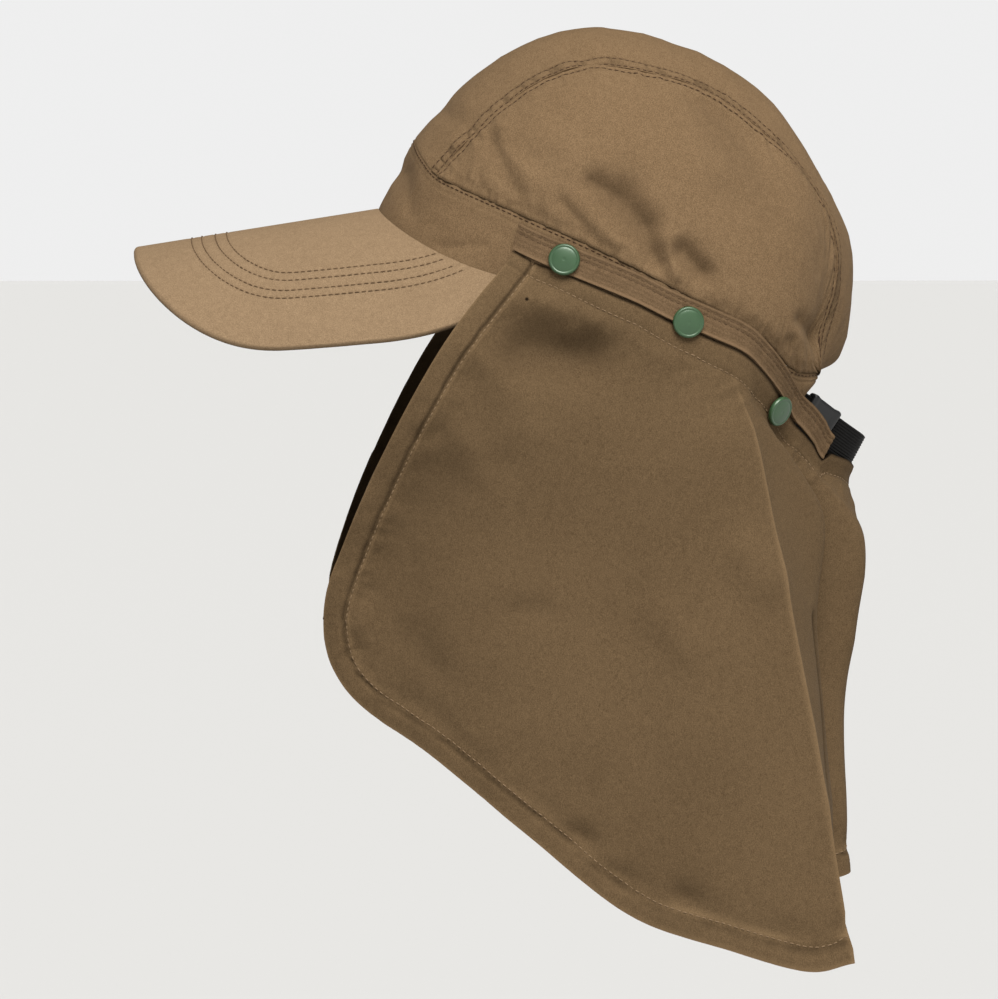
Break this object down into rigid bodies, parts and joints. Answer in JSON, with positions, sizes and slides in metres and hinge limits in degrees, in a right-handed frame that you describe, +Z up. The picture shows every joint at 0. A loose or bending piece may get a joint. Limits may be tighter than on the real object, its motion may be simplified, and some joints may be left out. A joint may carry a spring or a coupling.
{
  "type": "legionnaire cap",
  "caption": "Sun cap with a long arched peak, a panelled crown and a hemmed neck flap that hangs from a snapped tape.",
  "frame": {"origin": "middle of the head opening, where the cap sits on a head", "axes": "+Z up as the cap is worn, -Y towards the peak, +X towards the wearer's left"},
  "size_m": [0.176, 0.2986, 0.3735],
  "materials": {
    "crown_cloth": "matt woven polyamide, khaki brown",
    "peak_cloth": "matt woven polyamide, khaki brown",
    "flap_cloth": "matt woven polyamide, khaki brown",
    "snap_enamel": "green enamel, satin",
    "webbing": "ribbed black webbing",
    "slider_plastic": "satin black"
  },
  "bodies": {
    "root": {"headband_panel": "crown_cloth", "centre_panel": "crown_cloth", "side_panel_left": "crown_cloth", "side_panel_right": "crown_cloth", "peak": "peak_cloth", "cape": "flap_cloth", "snap_tape_left": "crown_cloth", "snap_tape_right": "crown_cloth", "snap_left_1": "snap_enamel", "snap_left_2": "snap_enamel", "snap_left_3": "snap_enamel", "snap_right_1": "snap_enamel", "snap_right_2": "snap_enamel", "snap_right_3": "snap_enamel", "rear_strap": "webbing", "strap_buckle": "slider_plastic"}
  },
  "joints": []
}
